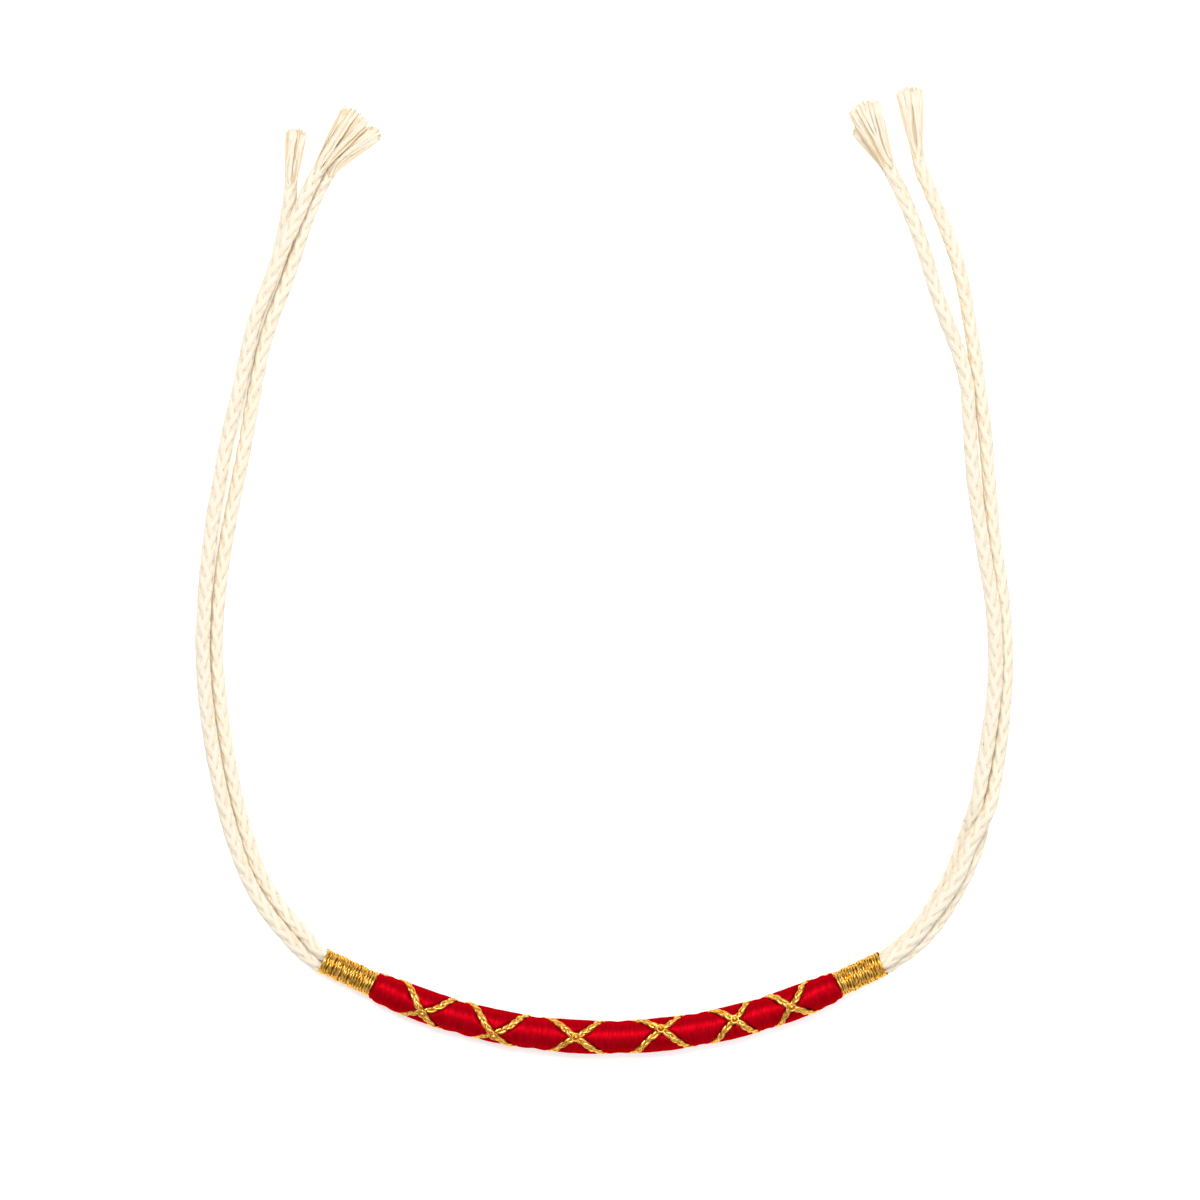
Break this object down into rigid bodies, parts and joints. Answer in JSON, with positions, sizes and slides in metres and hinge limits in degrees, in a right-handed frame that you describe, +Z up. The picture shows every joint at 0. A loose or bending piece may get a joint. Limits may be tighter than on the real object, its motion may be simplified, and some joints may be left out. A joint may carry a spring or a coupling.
{
  "type": "rakhi",
  "caption": "Red silk-wound rod with crossed gold lashings, gold bindings and braided cream cotton ties, laid out flat to be tied round a wrist.",
  "frame": {"origin": "on the surface that the rakhi lies on, under the middle of the rod's bounding box", "axes": "+X along the rod, +Y from the rod towards the free ends of the ties, +Z up from the surface"},
  "size_m": [0.1259, 0.1491, 0.0058],
  "materials": {
    "silk": "satin silk thread, wound",
    "gold_thread": "metallic thread, shiny",
    "cotton": "matte braided cotton"
  },
  "bodies": {
    "root": {"silk_core": "silk", "binding_left": "gold_thread", "binding_right": "gold_thread", "lashing_a": "gold_thread", "lashing_b": "gold_thread", "cord_left_1": "cotton", "cord_left_2": "cotton", "cord_left_3": "cotton", "cord_right_1": "cotton", "cord_right_2": "cotton", "cord_right_3": "cotton", "tuft_left_1": "cotton", "tuft_left_2": "cotton", "tuft_left_3": "cotton", "tuft_right_1": "cotton", "tuft_right_2": "cotton", "tuft_right_3": "cotton"}
  },
  "joints": []
}
